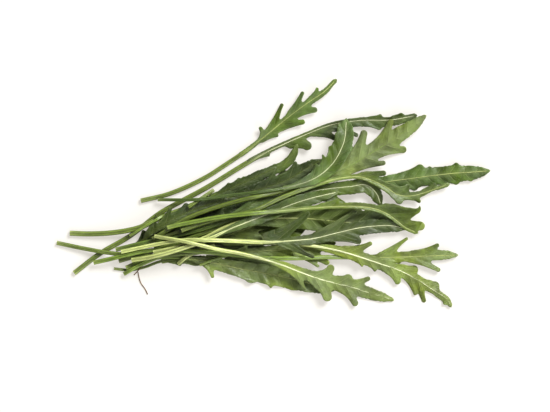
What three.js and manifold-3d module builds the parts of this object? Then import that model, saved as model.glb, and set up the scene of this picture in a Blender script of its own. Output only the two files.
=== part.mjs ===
import * as THREE from "three";
import { mergeVertices } from "three/addons/utils/BufferGeometryUtils.js";
import Module from "manifold-3d";

// A loose bunch of rocket, as it lies on a flat surface: long cut stalks cross at the left, and
// lobed blades fan out to the right. X runs from the cut ends to the tips, Y across, Z up, in
// millimetres. The bunch is one fused heap: a low core with every leaf that shows laid over it.

const wasm = await Module();
wasm.setup();

// Driving sizes
const press = 0.9; // how far a leaf's underside reaches into what carries it, so that they fuse
const foot = 0.85; // half the width of that underside, as a share of the stalk's radius
const gap = 0.15; // clearance between two leaves as they settle
const bladeThickness = 0.35;
const tipWidth = 0.5; // the midrib's width where it ends in the tip
const lobePower = 2.8; // above 2 a lobe is blunt, with steep sides
const stripPower = 0.55; // how blunt the blade's own tip is
const leanFade = 7; // over this length before the tip, lobes turn from slanting to square
const sagRadius = 220; // a free length of stalk hangs in a curve of this radius
const bendSlope = 0.35; // the steepest that a blade bends to climb over what lies under it
const wave = { height: 0.7, length: 17 }; // gentle waves along a blade's edges
const stations = 120; // places along a leaf where its shape is worked out
const columns = 4; // and across each half of its blade
const step = { stalk: 10, blade: 4 }; // stations between two sections of the finished solid
const cell = 0.5; // one square of the height map that the leaves are laid on
const field = { x: 125, y: 75 }; // half the length and width of that map

// The core: a low lumpy mound under the place where the stalks cross.
const core = { x: -19, y: -12.5, length: 88, width: 25, height: 4.6, turn: 21, lumps: 0.12 };

// The leaves, in the order in which they are laid, from the floor up. Each route runs along the
// midrib from the cut end to the tip. stalk is the stalk's width and blade the blade's length. half
// is the plain blade's width on the left and right of the midrib at its broadest, which comes at
// the share peak of its length. taper is how slender the blade's tip is. Each lobe is its tip's x
// and y and half its breadth, and lean is how far it slants towards the leaf's tip. fold is each
// half's angle in degrees. lift is the height of the leaf's tip above the floor, and face says
// which side of the blade is up.
const leaves = [
  { name: "upper_long", stalk: 2.5, blade: 88, half: [1.5, 3.2], peak: 0.72, lean: 1.5,
    fold: [30, 6], lift: 3, face: "upper",
    route: [[-98.8, -39.5], [-86, -29.8], [-71, -21], [-56, -9.6], [-45.3, -3.6], [-33, 3],
      [-11, 16.4], [-1, 21.8], [6, 25], [14, 28.5], [29, 34.3], [44, 36.7], [59.5, 37], [72, 39.2]],
    lobes: [[-1, 19, 1.4], [19.8, 22.6, 4], [32, 27, 2.6], [43, 28.5, 2.4], [54.5, 32, 3],
      [54.5, 39.8, 2], [65, 40.4, 3]] },
  { name: "top", stalk: 2.3, blade: 61, half: [1.6, 1.9], lean: 1.6, fold: [10, 10], lift: 3,
    face: "upper",
    route: [[-65.5, -3.4], [-51, 0.2], [-33.5, 8.1], [-24, 14.1], [-11.2, 22.8], [9, 39],
      [19, 46.3], [26, 51], [32, 57]],
    lobes: [[-6, 33.5, 1.6], [5, 45.5, 2.2], [15.3, 51.5, 2.4], [22.6, 53.3, 2], [3.4, 29, 2],
      [16.8, 35.5, 3.2], [23, 41.5, 3.4]] },
  { name: "low_short", stalk: 1.4, blade: 30, half: [2.5, 2.6], lean: 1.2, fold: [5, 5], lift: 1,
    face: "upper",
    route: [[-79, -37.3], [-71, -38], [-63.5, -36.5], [-56, -33.8], [-47, -32.8], [-36, -33.3],
      [-25, -34]],
    lobes: [[-45.5, -36, 2], [-38, -35.3, 2]] },
  { name: "low_broad", stalk: 2.4, blade: 78, half: [4.5, 5.2], lean: 0.6, fold: [6, 4], lift: 1,
    face: "upper",
    route: [[-72.8, -37], [-66, -34], [-58.5, -31.8], [-48.5, -31.3], [-33.5, -33.5], [-18, -36.8],
      [-5, -39.3], [10.5, -42.5], [23, -45.8], [31, -48]],
    lobes: [[-29.5, -42, 1.7], [-9.5, -44.6, 5], [-0.5, -47, 1.2], [11, -48, 4]] },
  { name: "dark_finger", stalk: 1.5, blade: 52, half: [2, 2.8], lean: 1.6, fold: [8, 8], lift: 4,
    face: "upper",
    route: [[-71, -20.8], [-63.5, -16.3], [-56.5, -12.5], [-43.5, -6.5], [-22, 2.2], [-1.5, 11.4],
      [5, 14.2], [9, 17.6], [12.6, 24.5]],
    lobes: [[-13.8, 8.8, 2.4], [1.5, 14.5, 2.2]] },
  { name: "dark_upper", stalk: 2.6, blade: 66, half: [4, 4], lean: 1.2, fold: [10, 10], lift: 3,
    face: "upper",
    route: [[-101, -19.6], [-91, -19.9], [-78.5, -19.2], [-66, -16.7], [-53.5, -11], [-38.5, -6],
      [-5, 2.5], [7, 6.7], [13, 10], [25, 17]],
    lobes: [[11.8, 16.5, 2], [1, 11, 2]] },
  { name: "dark_left", stalk: 1.8, blade: 46, half: [3, 4], lean: 1, fold: [12, 12], lift: 3,
    face: "upper",
    route: [[-68, -27], [-62, -21], [-53.5, -15], [-42.5, -9.3], [-32, -5.5], [-22.5, -2.3]],
    lobes: [[-57.5, -10, 1.6], [-50.5, -6.6, 2], [-42.5, -4.3, 2.4]] },
  { name: "dark_middle", stalk: 2, blade: 46, half: [4, 4], lean: 1.6, fold: [6, 6], lift: 3,
    face: "upper",
    route: [[-74, -40], [-66, -35.5], [-58, -32], [-48.5, -28.3], [-36, -24.5], [-23.5, -21],
      [-13.5, -17.5], [-5, -14], [4, -9.5], [11.5, -6]],
    lobes: [[-5, -22.5, 4], [7.5, -24.5, 3]] },
  { name: "far_right", stalk: 2.2, blade: 78, half: [4, 4.8], lean: 0.8, fold: [-12, -16], lift: 3,
    face: "upper",
    route: [[-76.5, -33.5], [-61, -29], [-41, -22], [-16, -13], [9, -4.5], [34, 1.8], [56, 5.8],
      [66.5, 7.3], [79, 9], [91.5, 10.4], [100, 10.9], [108.5, 11.6]],
    lobes: [[75.2, 15, 4.4], [78.8, 13.5, 0.8], [92.5, 15.6, 2], [72.5, 1.8, 3], [93, 4.8, 2.4],
      [99.8, 6.8, 1.6]] },
  { name: "turned_down", stalk: 2.1, blade: 60, half: [3, 4], lean: 1.6, fold: [8, 8], lift: 1,
    face: "upper",
    route: [[-78, -27.8], [-66, -24.8], [-53.5, -22], [-36, -18], [-22, -13.5], [-8.5, -9], [5, -4],
      [16.5, 0.5], [27.5, 2.5], [39, 3.7], [47, 4.5], [52, 0.5], [54.5, -6]],
    lobes: [[36.5, -6.5, 4]] },
  { name: "plain_young", stalk: 1.8, blade: 34, half: [2.2, 2.8], lean: 1, fold: [10, 10], lift: 4,
    face: "upper",
    route: [[-53.5, -21], [-41, -17], [-28.5, -13.3], [-20, -10.5], [-11, -5.8], [-2, -1.5],
      [5.5, 0.5]],
    lobes: [] },
  { name: "grey_middle", stalk: 2.1, blade: 54, half: [3, 3.2], lean: 1, fold: [5, 5], lift: 2,
    face: "upper",
    route: [[-107.5, -24.4], [-93.5, -27.3], [-79.5, -29.6], [-61, -30.8], [-41, -29.5],
      [-29.5, -28.5], [-20, -29.3], [-6, -28.5], [9, -27.5], [20, -26.5], [31.5, -24.5]],
    lobes: [[-12, -24.8, 1.6], [-4.5, -32, 2], [9, -31.5, 2.6], [23.5, -36.5, 1.6],
      [28.5, -35.3, 2.6]] },
  { name: "right_fork", stalk: 2.2, blade: 52, half: [3, 2.4], lean: 1.5, fold: [8, 8], lift: 2,
    face: "upper",
    route: [[-89, -34.3], [-81, -32.5], [-73.5, -30.6], [-66, -29], [-56, -27.8], [-41, -28.3],
      [-21, -30], [-5, -31.8], [9, -32], [29, -31.5], [57, -31.7], [81, -30.9], [92.5, -30.5]],
    lobes: [[67.8, -21.6, 1.8], [83.3, -24.6, 2.8], [64, -34.8, 2.4], [84, -38.8, 2.5]] },
  { name: "lower_right", stalk: 2.2, blade: 80, half: [2.8, 3], peak: 0.4, taper: 0.7, lean: 1.1,
    fold: [-10, -10], lift: 1.5, face: "under",
    route: [[-39.3, -22.8], [-21, -23.2], [4.5, -24.4], [16.5, -25.3], [34, -28.5], [54, -34.8],
      [64, -38.3], [74, -43.6], [79, -47], [83.6, -49.8], [87.4, -52.4], [89.3, -56.2]],
    lobes: [[50, -24, 2.2], [73.3, -36.8, 4], [83.8, -44.7, 7.5], [45, -36.3, 1.4],
      [51.5, -38.8, 1.6], [63, -45.5, 3.4], [71.5, -50.8, 2.4], [76, -54.5, 2.2],
      [85.8, -55.6, 4]] },
  { name: "pale_centre", stalk: 2.1, blade: 74, half: [6, 5.8], peak: 0.4, lean: 1, fold: [-6, -6],
    lift: 2, face: "under",
    route: [[-59, -29], [-51, -27.3], [-43, -25], [-33.5, -21.8], [-23.5, -16.8], [-13.5, -13.3],
      [-1, -12.2], [14, -12.1], [29, -13.2], [42, -14.8], [52, -15.6], [62, -16.4]],
    lobes: [[37, -6.6, 5], [44, -6, 5], [51.5, -6.6, 5], [57.5, -8.6, 5], [61, -12, 3]] },
  { name: "white_rib", stalk: 2.4, blade: 68, half: [3.4, 3.6], lean: 1.2, fold: [6, 6], lift: 3,
    face: "upper",
    route: [[-70, -33], [-61, -31.5], [-51, -29], [-40, -25.5], [-32.5, -22.8], [-21, -17.5],
      [-11, -13.5], [-2, -10], [9, -5.5], [20, -2], [33, 1]],
    lobes: [[-4.5, -14.3, 2.6]] },
  { name: "big_pale", stalk: 2.3, blade: 76, half: [4.4, 4], peak: 0.55, lean: 0.9, fold: [-6, -6],
    lift: 5, face: "under",
    route: [[-59.5, -22.5], [-52, -18], [-42.5, -12.3], [-29.5, -7.3], [-16, -3.3], [-1, 0],
      [14, 3.5], [27, 8.3], [36.5, 12.8], [50.5, 21], [61.5, 28], [70, 33.8], [76.5, 39]],
    lobes: [[46, 32.3, 3.6], [59.5, 37.8, 3.4], [67.5, 21.5, 3.6], [57, 15, 3.4]] },
  { name: "curly_right", stalk: 2.3, blade: 78, half: [2.3, 2.2], taper: 2, lean: 1.2,
    fold: [10, 10], lift: 3, face: "upper",
    route: [[-45, -18.3], [-36, -15], [-25, -11.8], [-9, -8.3], [3.3, -2.5], [14.8, 2.1], [26.3, 6],
      [36.5, 8.3], [44, 8.5], [51, 6.3], [57, 3.3], [62, 0], [67, -1.1], [73, -0.3], [80, 2],
      [88.3, 5]],
    lobes: [[57, 11, 2.6], [68.5, 5.2, 4], [81.3, 6, 3], [64, -5.2, 2.4], [74, -4.4, 1.6]] },
  { name: "blue_lower", stalk: 2.1, blade: 72, half: [3.3, 3.8], lean: 1.4, fold: [4, 4], lift: 3,
    face: "upper",
    route: [[-75, -28.8], [-61, -25.8], [-48.5, -23.5], [-41, -22.8], [-21, -23.3], [-5, -24],
      [9, -23.3], [20.5, -22.2], [32, -19.5], [43.5, -16.9], [51.5, -16], [59, -15.8], [67, -17.3]],
    lobes: [[18.5, -8.5, 3.2], [42, -8, 3], [44.5, -24.8, 4], [21, -31.8, 2]] },
  { name: "arched", stalk: 2.3, blade: 78, half: [2.1, 1.4], peak: 0.7, lean: 1.1, fold: [14, 2],
    lift: 3, face: "upper",
    route: [[-52, -16.8], [-46, -15.3], [-36, -13.3], [-26, -11.5], [-11, -9.8], [6.5, -8.2],
      [19, -7], [31.5, -6.3], [42.5, -6.2], [51.5, -7.5], [58, -10.3], [63, -14], [67, -17],
      [72.5, -19.4]],
    lobes: [[33.5, -2.2, 3], [74.2, -6.3, 4], [76.8, -14.8, 7]] },
  { name: "upper_turned", stalk: 1.6, blade: 52, half: [5, 4.4], lean: 1.2, fold: [6, 6], lift: 6,
    face: "upper",
    route: [[-57, -2.9], [-36, -2.7], [-21.5, -0.7], [-6, 1], [11, 4], [22.5, 8.5], [30.5, 15.5],
      [34.5, 22.5], [36.3, 28], [37, 37.3]],
    lobes: [[22, 15.3, 1.5], [25.2, 19.7, 1.6], [28.3, 23.7, 1.8], [31.8, 30, 1.8],
      [40.3, 23, 1.4]] },
  { name: "low_pale", stalk: 2, blade: 74, half: [3.2, 3.6], lean: 1, fold: [-6, -6], lift: 1,
    face: "under",
    route: [[-58.5, -21], [-44.5, -23.3], [-36, -25.3], [-26, -27.7], [-16, -29.5], [-6, -32],
      [4, -35], [14, -38.9], [24, -42.5], [39, -46.4], [49, -49.5], [60.5, -53]],
    lobes: [[30.5, -35.5, 3], [40, -40.5, 4], [49, -41.5, 2.2], [16.3, -48, 1.8],
      [28.3, -53.8, 3.6], [42, -56.3, 3]] },
];

// Short lengths of bare stalk that show between the leaves. They are laid after the tenth leaf.
const snapped = [
  { name: "snapped_upper", stalk: 1.7, route: [[-29, 2.1], [-35, -2], [-41.5, -6.6]] },
  { name: "snapped_left", stalk: 1.2, route: [[-71, -20.9], [-63, -16], [-54.5, -11]] },
  { name: "snapped_lower", stalk: 2, route: [[-47, -35], [-42, -31], [-36, -28], [-28.5, -25.5]] },
  { name: "snapped_thin", stalk: 1.3, route: [[-36, -35.5], [-31, -33.5], [-26, -31.8], [-17, -29],
    [-8.5, -27]] },
];

const sides = [1, -1]; // left and right of the midrib, seen along the leaf from above
const radians = THREE.MathUtils.degToRad;

// The height map: the top of all that has been laid, one number for each square.
const across = Math.round((2 * field.x) / cell);
const along = Math.round((2 * field.y) / cell);
const heights = new Float64Array(across * along);

function square(x, y) {
  const column = Math.floor((x + field.x) / cell);
  const row = Math.floor((y + field.y) / cell);
  return row * across + column;
}

function raise(x, y, z) {
  const at = square(x, y);
  heights[at] = Math.max(heights[at], z);
}

// The midrib seen from above: a point and a direction for any length along it, carried on straight
// past the tip.
function midrib(route) {
  const curve = new THREE.CatmullRomCurve3(route.map(([x, y]) => new THREE.Vector3(x, y, 0)));
  curve.arcLengthDivisions = 600;
  const length = curve.getLength();
  const tip = curve.getPointAt(1);
  return {
    length,
    point(s) {
      const t = THREE.MathUtils.clamp(s / length, 0, 1);
      const past = Math.max(0, s - length);
      return s > length ? tip.clone().addScaledVector(this.direction(length), past)
        : curve.getPointAt(t);
    },
    direction(s) {
      const t = THREE.MathUtils.clamp(s / length, 0.002, 0.998);
      return curve.getTangentAt(t);
    },
  };
}

// A leaf's plan: the width of each half at any station, and where a point of the blade lies.
function plan(leaf) {
  const rib = midrib(leaf.route);
  const blade = leaf.blade ?? 0;
  const start = rib.length - blade;
  const peak = leaf.peak ?? 0.6;
  const taper = leaf.taper ?? stripPower;
  const slant = (u) => (leaf.lean ?? 0)
    * THREE.MathUtils.clamp((rib.length - u) / leanFade, 0, 1)
    * THREE.MathUtils.clamp((u - start) / 4, 0, 1);
  const radius = (u) => {
    const t = blade ? THREE.MathUtils.clamp((u - start) / blade, 0, 1) : 0;
    return THREE.MathUtils.lerp(leaf.stalk, tipWidth, t ** 0.8) / 2;
  };
  const strip = (side, u) => {
    if (u <= start || u >= rib.length) return 0;
    const t = (u - start) / blade;
    const half = leaf.half[side > 0 ? 0 : 1];
    const rise = (t / peak) ** ((taper * peak) / (1 - peak));
    return half * rise * ((1 - t) / (1 - peak)) ** taper;
  };
  const at = (side, u, d) => {
    const s = u + slant(u) * d;
    const direction = rib.direction(s);
    const left = new THREE.Vector3(-direction.y, direction.x, 0);
    return rib.point(s).addScaledVector(left, side * d);
  };
  // Each lobe's tip is a point: its root is found back along the slant.
  const lobes = (leaf.lobes ?? []).map(([x, y, breadth]) => {
    const tip = new THREE.Vector3(x, y, 0);
    let nearest = 0;
    let reach = Infinity;
    for (let s = start; s < rib.length + 15; s += 0.1) {
      const away = rib.point(s).distanceTo(tip);
      if (away < reach) [nearest, reach] = [s, away];
    }
    const offset = tip.clone().sub(rib.point(nearest));
    const side = rib.direction(nearest).cross(offset).z > 0 ? 1 : -1;
    let root = nearest;
    for (let round = 0; round < 12; round += 1) root = nearest - slant(root) * reach;
    return { side, root, breadth, height: reach - strip(side, root) };
  });
  const width = (side, u) => {
    const own = lobes.filter((lobe) => lobe.side === side);
    const bumps = own.map((lobe) => lobe.height
      * Math.exp(-(Math.abs((u - lobe.root) / lobe.breadth) ** lobePower)));
    const begin = THREE.MathUtils.clamp((u - start) / 3, 0, 1);
    return strip(side, u) + Math.max(0, ...bumps) * begin;
  };
  return { length: rib.length, start, blade, radius, width, at, rib };
}

// Upper hull of a row of heights over places: what a line stretched over them would do.
function stretched(places, row) {
  const hull = [];
  for (let i = 0; i < row.length; i += 1) {
    while (hull.length > 1) {
      const [a, b] = hull.slice(-2);
      const slope = (row[i] - row[a]) / (places[i] - places[a]);
      if (row[b] > row[a] + slope * (places[b] - places[a])) break;
      hull.pop();
    }
    hull.push(i);
  }
  return row.map((_, i) => {
    const next = Math.max(1, hull.findIndex((h) => h >= i));
    const [a, b] = [hull[next - 1], hull[next]];
    return THREE.MathUtils.mapLinear(places[i], places[a], places[b], row[a], row[b]);
  });
}

// Lays one leaf on the height map. It returns each station's place, its midrib's height, and the
// height and place of the blade's points across both halves.
function lay(leaf, index) {
  const shape = plan(leaf);
  const places = Array.from({ length: stations + 1 }, (_, i) => (i * shape.length) / stations);
  const plane = (leaf.face === "under" ? -0.5 : 0.5);
  const rows = places.map((u) => {
    const radius = shape.radius(u);
    const wings = sides.map((side) => {
      const width = Math.max(shape.width(side, u), radius);
      const fold = Math.tan(radians(leaf.fold?.[side > 0 ? 0 : 1] ?? 0));
      const phase = (2 * Math.PI * u) / wave.length + 2.4 * index + side;
      return Array.from({ length: columns + 1 }, (_, k) => {
        const d = (width * k) / columns;
        const inBlade = width > radius ? 1 : 0;
        const ripple = wave.height * Math.sin(phase) * Math.min(1, d / 6);
        const rise = inBlade * (plane * radius + d * fold + ripple);
        return { d, point: shape.at(side, u, d), rise, side };
      });
    });
    return { u, radius, wings };
  });

  // The midrib rests on the highest things under it and sags between them.
  const tipShare = (u) => (shape.blade ? Math.max(0, (u - shape.start) / shape.blade) : 0);
  const support = rows.map(({ u, radius, wings }) => {
    let top = Math.max((leaf.lift ?? 0) * tipShare(u), 0);
    for (const { d, point, rise } of wings.flat()) {
      const under = heights[square(point.x, point.y)] + gap;
      if (d <= radius) top = Math.max(top, under + Math.sqrt(radius * radius - d * d));
      else if (d < 3) top = Math.max(top, under + bladeThickness / 2 - rise);
    }
    return top;
  });
  const sag = (u) => (u * u) / (2 * sagRadius);
  let line = stretched(places, support.map((z, i) => z - sag(places[i])))
    .map((z, i) => z + sag(places[i]));
  for (let round = 0; round < 6; round += 1) {
    line = line.map((z, i) => (line[Math.max(0, i - 1)] + 2 * z
      + line[Math.min(stations, i + 1)]) / 4);
  }

  // The blade bends up where something under it is higher, and no more steeply than it can.
  const width = 2 * columns + 1;
  const lifted = rows.map(({ wings }, i) => {
    const row = new Array(width).fill(0);
    for (const wing of wings) {
      wing.forEach(({ d, point, rise, side }, k) => {
        if (k === 0) return;
        const need = heights[square(point.x, point.y)] + gap + bladeThickness / 2;
        row[columns + side * k] = Math.max(0, need - line[i] - rise);
      });
    }
    return row;
  });
  const pitch = (shape.length / stations) * bendSlope;
  const spread = (i, c, from, fromColumn, drop) => {
    lifted[i][c] = Math.max(lifted[i][c], lifted[from][fromColumn] - drop);
  };
  for (let i = 0; i <= stations; i += 1) {
    for (let c = 0; c < width; c += 1) {
      const wing = rows[i].wings[c > columns ? 0 : 1];
      const drop = wing[1].d * bendSlope;
      if (c > 0) spread(i, c, i, c - 1, drop);
      if (i > 0) spread(i, c, i - 1, c, pitch);
    }
  }
  for (let i = stations; i >= 0; i -= 1) {
    for (let c = width - 1; c >= 0; c -= 1) {
      const wing = rows[i].wings[c >= columns ? 0 : 1];
      const drop = wing[1].d * bendSlope;
      if (c < width - 1) spread(i, c, i, c + 1, drop);
      if (i < stations) spread(i, c, i + 1, c, pitch);
    }
  }

  rows.forEach((row, i) => {
    row.z = line[i] + lifted[i][columns];
    for (const wing of row.wings) {
      wing.forEach((place, k) => {
        place.z = line[i] + place.rise + lifted[i][columns + place.side * k];
      });
    }
  });

  // Its own top is added to the map, a few points between each two stations and columns.
  const fine = { along: 4, across: 8 };
  for (let i = 0; i < stations; i += 1) {
    for (const s of [0, 1]) {
      for (let k = 0; k < columns; k += 1) {
        const corners = [rows[i].wings[s][k], rows[i].wings[s][k + 1],
          rows[i + 1].wings[s][k], rows[i + 1].wings[s][k + 1]];
        for (let a = 0; a < fine.along; a += 1) {
          for (let b = 0; b < fine.across; b += 1) {
            const [p, q] = [a / fine.along, b / fine.across];
            const share = [(1 - p) * (1 - q), (1 - p) * q, p * (1 - q), p * q];
            const sum = (read) => corners.reduce((t, corner, n) => t + share[n] * read(corner), 0);
            const d = sum((corner) => corner.d);
            const radius = THREE.MathUtils.lerp(rows[i].radius, rows[i + 1].radius, p);
            const ridge = THREE.MathUtils.lerp(rows[i].z, rows[i + 1].z, p)
              + Math.sqrt(Math.max(0, radius * radius - d * d));
            const top = sum((corner) => corner.z) + bladeThickness / 2;
            raise(sum((corner) => corner.point.x), sum((corner) => corner.point.y),
              d < radius ? Math.max(top, ridge) : top);
          }
        }
      }
    }
  }
  return { shape, rows };
}

// The stations that the outline needs: the ends, every lobe's tip and every notch between two
// lobes, with plain steps where nothing changes.
function sections({ shape, rows }) {
  const kept = [0];
  for (let i = 1; i < stations; i += 1) {
    const [before, here, after] = [i - 1, i, i + 1].map((n) => rows[n].wings.map(
      (wing) => wing[columns].d));
    const turns = sides.some((_, s) => (here[s] - before[s]) * (after[s] - here[s]) < 0
      && Math.abs(after[s] - before[s]) + Math.abs(here[s] - before[s]) > 0.01);
    const limit = rows[i].u < shape.start ? step.stalk : step.blade;
    if (turns || i - kept.at(-1) >= limit) kept.push(i);
  }
  if (stations - kept.at(-1) < 2) kept.pop();
  kept.push(stations);
  return kept;
}

// A leaf's solid: a six-sided tube whose two side edges are drawn out to the blade's outline.
function leafSolid(laid) {
  const kept = sections(laid);
  const steps = kept.length - 1;
  const tube = new THREE.CylinderGeometry(1, 1, 1, 6, steps, false, Math.PI / 6);
  const position = tube.attributes.position;
  for (let n = 0; n < position.count; n += 1) {
    const [x, y, z] = [position.getX(n), position.getY(n), position.getZ(n)];
    const row = laid.rows[kept[Math.round((y + 0.5) * steps)]];
    const wing = row.wings[x > 0 ? 1 : 0];
    const edge = wing[columns];
    if (Math.abs(x) > 0.9) {
      const droop = edge.d > row.radius ? press : 0;
      position.setXYZ(n, edge.point.x, edge.point.y, Math.max(0, edge.z - droop));
    } else {
      const under = z < 0;
      const d = row.radius * (under ? foot : Math.abs(x));
      const point = laid.shape.at(x > 0 ? -1 : 1, row.u, d);
      const height = row.z + z * row.radius - (under ? press : 0);
      position.setXYZ(n, point.x, point.y, Math.max(0, height));
    }
  }
  return solid(tube);
}

// Turns a closed geometry into a solid that can be joined to others.
function solid(geometry) {
  geometry.deleteAttribute("normal");
  geometry.deleteAttribute("uv");
  const merged = mergeVertices(geometry, 1e-5);
  const mesh = new wasm.Mesh({
    numProp: 3,
    vertProperties: Float32Array.from(merged.attributes.position.array),
    triVerts: Uint32Array.from(merged.index.array),
  });
  return new wasm.Manifold(mesh);
}

// The core: a flattened ball with a flat base, with shallow lumps on its top.
function coreSolid() {
  const ball = new THREE.SphereGeometry(1, 24, 12);
  ball.rotateX(Math.PI / 2);
  const position = ball.attributes.position;
  const turn = radians(core.turn);
  for (let n = 0; n < position.count; n += 1) {
    const [x, y, z] = [position.getX(n), position.getY(n), position.getZ(n)];
    const lump = 1 + core.lumps * Math.sin(9 * x + 1) * Math.cos(5 * y);
    const [a, b] = [(x * core.length) / 2, (y * core.width) / 2];
    position.setXYZ(n, core.x + a * Math.cos(turn) - b * Math.sin(turn),
      core.y + a * Math.sin(turn) + b * Math.cos(turn), Math.max(0, z) * core.height * lump);
  }
  return solid(ball);
}

function layCore() {
  const turn = radians(core.turn);
  for (let x = -1; x <= 1; x += 0.01) {
    for (let y = -1; y <= 1; y += 0.02) {
      const rise = Math.sqrt(Math.max(0, 1 - x * x - y * y));
      const [a, b] = [(x * core.length) / 2, (y * core.width) / 2];
      raise(core.x + a * Math.cos(turn) - b * Math.sin(turn),
        core.y + a * Math.sin(turn) + b * Math.cos(turn), rise * core.height);
    }
  }
}

// Laid from the floor up, then fused. What fusing seals in is left out with any loose scrap.
layCore();
const order = [...leaves.slice(0, 10), ...snapped, ...leaves.slice(10)];
const laid = order.map((leaf, index) => lay(leaf, index));
const fused = laid.reduce((heap, leaf) => heap.add(leafSolid(leaf)), coreSolid());
const pieces = fused.decompose().sort((a, b) => b.volume() - a.volume());
const outer = pieces[0].getMesh();

const geometry = new THREE.BufferGeometry();
geometry.setAttribute("position", new THREE.BufferAttribute(outer.vertProperties, 3));
geometry.setIndex(new THREE.BufferAttribute(outer.triVerts, 1));
geometry.computeBoundingBox();
const box = geometry.boundingBox;
geometry.translate(-(box.min.x + box.max.x) / 2, -(box.min.y + box.max.y) / 2, -box.min.z);
geometry.computeVertexNormals();

const leafGreen = new THREE.MeshStandardMaterial({ color: 0x58772f, roughness: 0.55, metalness: 0 });
const bunch = new THREE.Mesh(geometry, leafGreen);
bunch.name = "rocket_bunch";

const group = new THREE.Group();
group.add(bunch);
export default group;
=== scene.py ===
"""A loose bunch of wild rocket, lying flat: long cut stalks cross at the left, and lobed green
leaves fan out to the right. Lengths are in millimetres until a mesh is made."""

import math

import bpy
import numpy as np
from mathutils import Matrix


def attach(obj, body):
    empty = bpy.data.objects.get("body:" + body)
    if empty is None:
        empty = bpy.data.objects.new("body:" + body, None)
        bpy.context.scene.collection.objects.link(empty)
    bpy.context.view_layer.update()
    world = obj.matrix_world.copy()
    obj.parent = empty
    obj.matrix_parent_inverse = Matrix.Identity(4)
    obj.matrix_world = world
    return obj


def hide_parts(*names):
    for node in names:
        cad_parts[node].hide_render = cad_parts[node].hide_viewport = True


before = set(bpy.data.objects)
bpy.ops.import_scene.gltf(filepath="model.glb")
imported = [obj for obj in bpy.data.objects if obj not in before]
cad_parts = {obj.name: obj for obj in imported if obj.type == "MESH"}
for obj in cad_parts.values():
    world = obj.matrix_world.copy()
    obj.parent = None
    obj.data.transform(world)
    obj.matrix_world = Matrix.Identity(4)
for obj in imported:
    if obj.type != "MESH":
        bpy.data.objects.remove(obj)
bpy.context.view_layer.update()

# ---------------------------------------------------------------------------------------------
# The core: the crumpled small leaves that the bunch lies on, where the stalks cross. It hardly
# shows. It is a ball squeezed to a low mound with a flat base and creased all over, and
# everything is laid on it. Its darker green is painted shade, the green of leaves in the bunch's
# shade.

core = dict(x=-19, y=-12.5, length=88, width=25, height=4.6, turn=21)
CREASE = 0.13  # the depth of its creases, as a share of its height
SUNK, DRAWN_IN = 0.9, 0.97  # its mesh's height and width, as shares of what carries the leaves

CELL = 0.5  # one square of the height map that everything is laid on
FIELD = np.array([125, 75])  # half the length and width of that map
heights = np.zeros(np.rint(2 * FIELD / CELL).astype(int))


def squares(xy):
    """The squares of the height map that hold these points."""
    return tuple(np.moveaxis(np.floor((xy + FIELD) / CELL).astype(int), -1, 0))


def on_core(share):
    """A place on the core's plan, from its shares of the core's half length and half width."""
    turn = math.radians(core["turn"])
    a, b = share[..., 0] * core["length"] / 2, share[..., 1] * core["width"] / 2
    x = core["x"] + a * math.cos(turn) - b * math.sin(turn)
    return np.stack([x, core["y"] + a * math.sin(turn) + b * math.cos(turn)], -1)


grid = np.stack(np.meshgrid(np.arange(-1, 1, 0.01), np.arange(-1, 1, 0.02)), -1)
dome = np.sqrt(np.maximum(1 - (grid**2).sum(-1), 0)) * core["height"]
np.maximum.at(heights, squares(on_core(grid)), dome)

# The greens that leaves, stalks and midribs are picked from, as they look.
greens = {
    "dark": (65, 84, 30), "deep": (85, 106, 44), "fresh": (97, 123, 48), "mid": (111, 133, 59),
    "pale": (131, 149, 76), "olive": (84, 98, 36), "moss": (115, 132, 57), "lime": (128, 151, 62),
    "cream": (198, 208, 134), "white": (238, 242, 200),
}
LIGHT = 2.2  # how much brighter than its own colour a level face looks under the set's lights


def linear(rgb):
    """A colour as it looks, from 0 to 255, as the linear one that a shader takes."""
    share = np.array(rgb, float) / 255
    return np.where(share <= 0.04045, share / 12.92, ((share + 0.055) / 1.055) ** 2.4) / LIGHT


def colour(rgb):
    return (*linear(rgb), 1)


def node(tree, kind, inputs=(), **settings):
    """Adds a shader node. Each input is a value or another node's output."""
    made = tree.nodes.new(kind)
    for name, value in settings.items():
        setattr(made, name, value)
    for name, value in dict(inputs).items():
        if isinstance(value, bpy.types.NodeSocket):
            tree.links.new(value, made.inputs[name])
        else:
            made.inputs[name].default_value = value
    return made


def math_node(tree, operation, a, b=0.0):
    return node(tree, "ShaderNodeMath", {0: a, 1: b}, operation=operation).outputs[0]


def ramp(tree, value, low, high, start=0.0, end=1.0):
    """Reads value smoothly from low to high as start to end."""
    inputs = {"Value": value, "From Min": low, "From Max": high, "To Min": start, "To Max": end}
    return node(tree, "ShaderNodeMapRange", inputs, interpolation_type="SMOOTHSTEP").outputs[0]


def mix(tree, share, a, b):
    return node(tree, "ShaderNodeMix", {0: share, 6: a, 7: b}, data_type="RGBA").outputs[2]


def noise(tree, where, scale, detail=2.0, **settings):
    inputs = {"Vector": where, "Scale": scale, "Detail": detail}
    return node(tree, "ShaderNodeTexNoise", inputs, **settings).outputs[0]


def new_skin(name):
    """An empty material, its shader, and the place on the piece."""
    skin = bpy.data.materials.new(name)
    skin.use_nodes = True
    tree = skin.node_tree
    spot = node(tree, "ShaderNodeTexCoord").outputs["Object"]
    return skin, tree, tree.nodes["Principled BSDF"], spot


def leaf_maps(tree):
    """What a leaf's skins read of it: its green, the way along and across it, and its veins."""
    tint = node(tree, "ShaderNodeAttribute", attribute_name="Tint").outputs["Color"]
    sheet = node(tree, "ShaderNodeUVMap", uv_map="Sheet").outputs[0]
    veins = node(tree, "ShaderNodeUVMap", uv_map="Veins").outputs[0]
    across = node(tree, "ShaderNodeSeparateXYZ", {0: veins})
    return tint, sheet, across.outputs[0], math_node(tree, "ABSOLUTE", across.outputs[1])


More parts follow.
